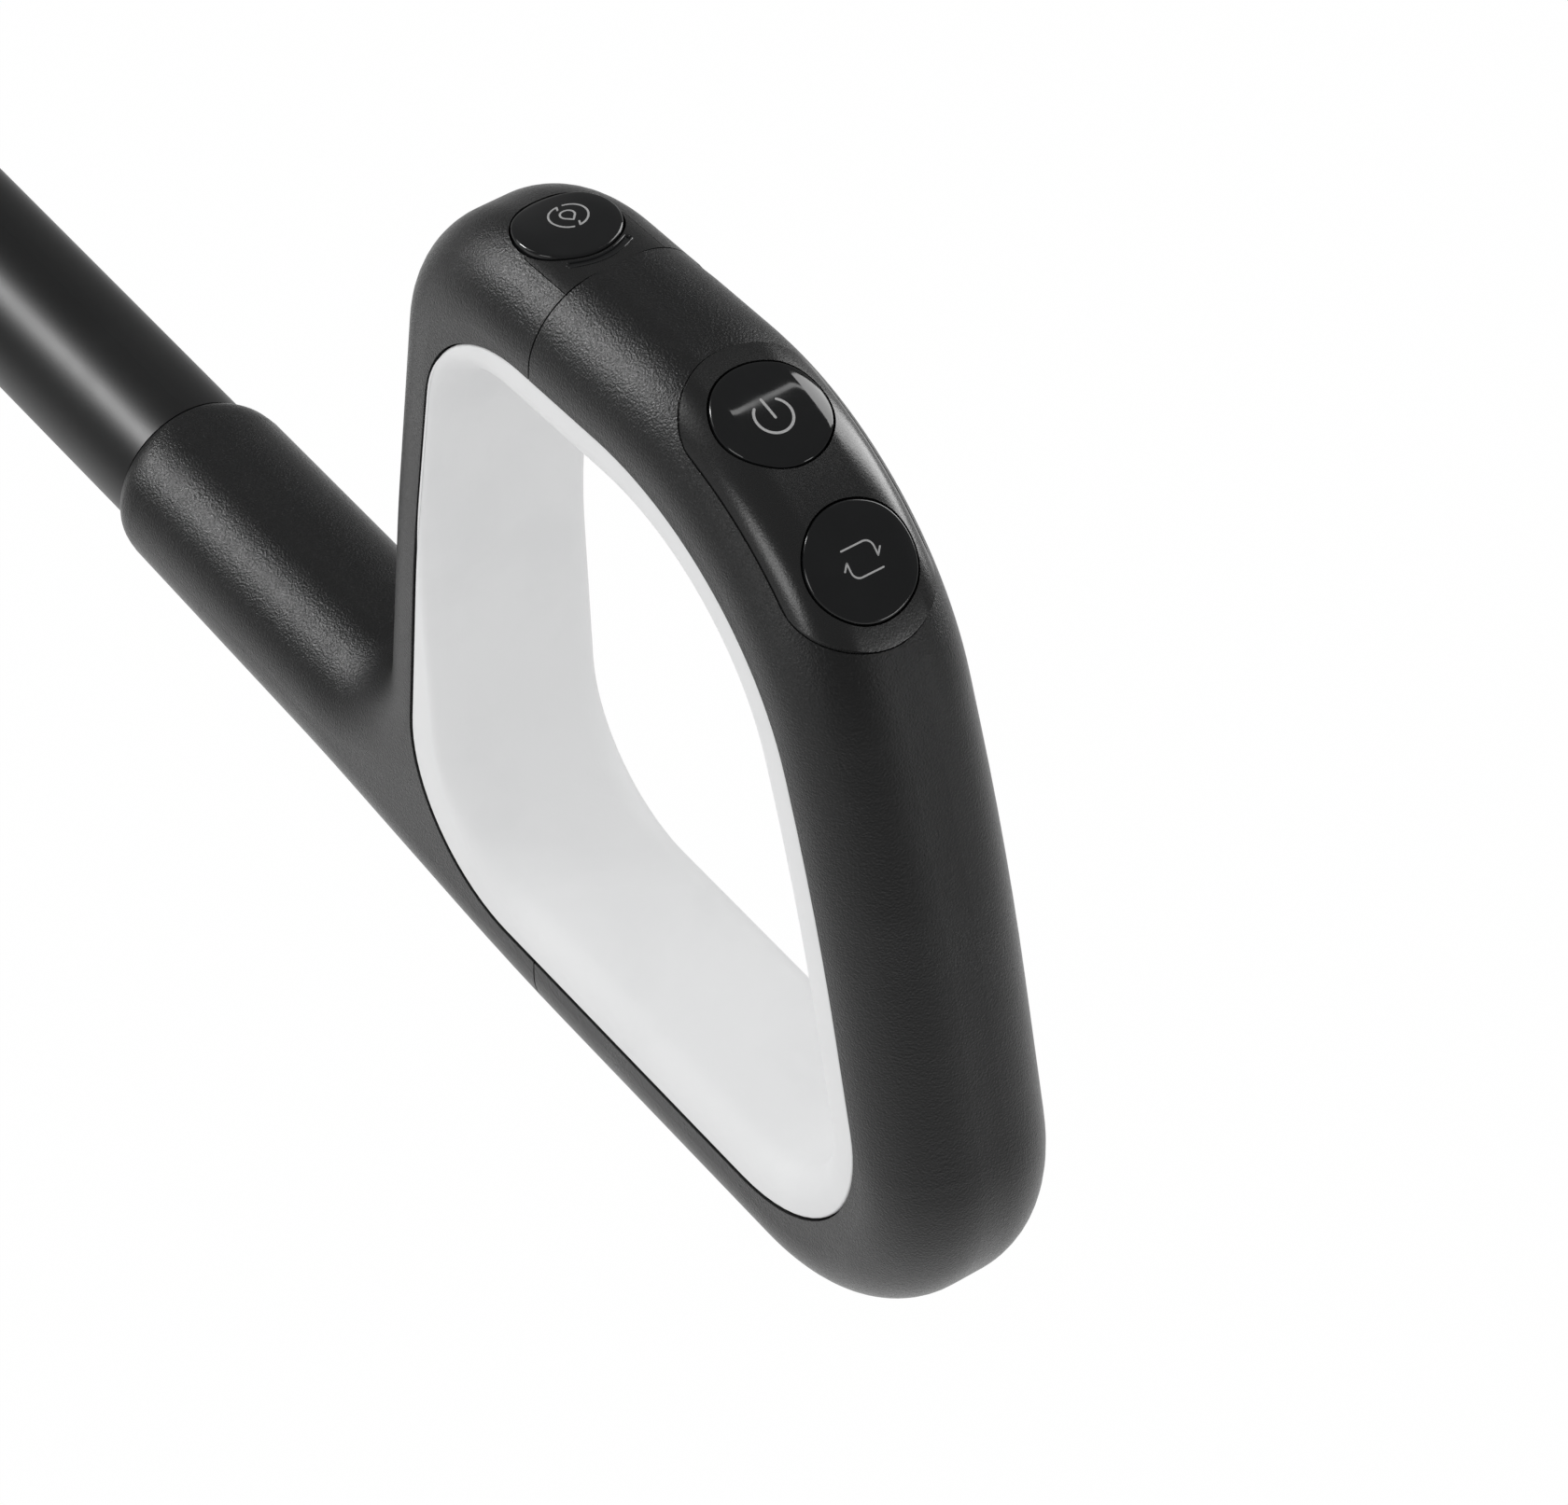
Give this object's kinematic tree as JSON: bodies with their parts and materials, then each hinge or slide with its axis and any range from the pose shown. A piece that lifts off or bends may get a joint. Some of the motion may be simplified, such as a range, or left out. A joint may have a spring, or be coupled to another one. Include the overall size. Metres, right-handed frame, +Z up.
{
  "type": "floor washer handle",
  "caption": "Closed-loop hand grip on a round pole for an upright floor washer, with a soft pale liner inside the loop and round push buttons on its crown.",
  "frame": {"origin": "middle of the pole's free end, on its axis", "axes": "+X along the pole towards the loop, +Z up from the pole to the crown of the loop, the loop lies in the XZ plane"},
  "size_m": [0.5374, 0.0336, 0.1688],
  "materials": {
    "pole": "satin black powder coat",
    "inner_plastic": "black moulded plastic",
    "contacts": "bright contacts",
    "sleeve": "glass-filled black plastic",
    "screws": "zinc plated",
    "shell": "black, fine spark-eroded grain",
    "liner": "pale grey soft-touch",
    "panel": "black, smooth satin",
    "window": "smoked clear",
    "buttons": "black, polished, printed icons",
    "board": "green solder resist",
    "switches": "black",
    "led": "clear diffused",
    "loom": "black sheath"
  },
  "bodies": {
    "handle": {"pole_tube": "pole", "pole_end_plug": "inner_plastic", "contact_pins": "contacts", "joint_sleeve": "sleeve", "tube_screws": "screws", "neck_screws": "screws", "rear_shell": "shell", "front_shell": "shell", "shell_screws": "screws", "grip_liner": "liner", "control_panel": "panel", "clean_deck": "panel", "status_window": "window", "main_board": "board", "clean_board": "board", "board_screws": "screws", "power_switch": "switches", "mode_switch": "switches", "clean_switch": "switches", "status_led": "led", "pole_loom": "loom", "panel_loom": "loom"},
    "power_button": {"power_button": "buttons"},
    "mode_button": {"mode_button": "buttons"},
    "clean_button": {"clean_button": "buttons"}
  },
  "joints": [
    {"name": "power_press", "type": "slide", "parent": "handle", "child": "power_button", "axis": [-0.2334, 0, -0.9724], "range_m": [0, 0.0008], "stiffness_N_per_m": 1500, "springref_m": -0.0006},
    {"name": "mode_press", "type": "slide", "parent": "handle", "child": "mode_button", "axis": [-0.6252, 0, -0.7804], "range_m": [0, 0.0008], "stiffness_N_per_m": 1500, "springref_m": -0.0006},
    {"name": "clean_press", "type": "slide", "parent": "handle", "child": "clean_button", "axis": [0.2504, 0, -0.9681], "range_m": [0, 0.0008], "stiffness_N_per_m": 1500, "springref_m": -0.0006}
  ]
}
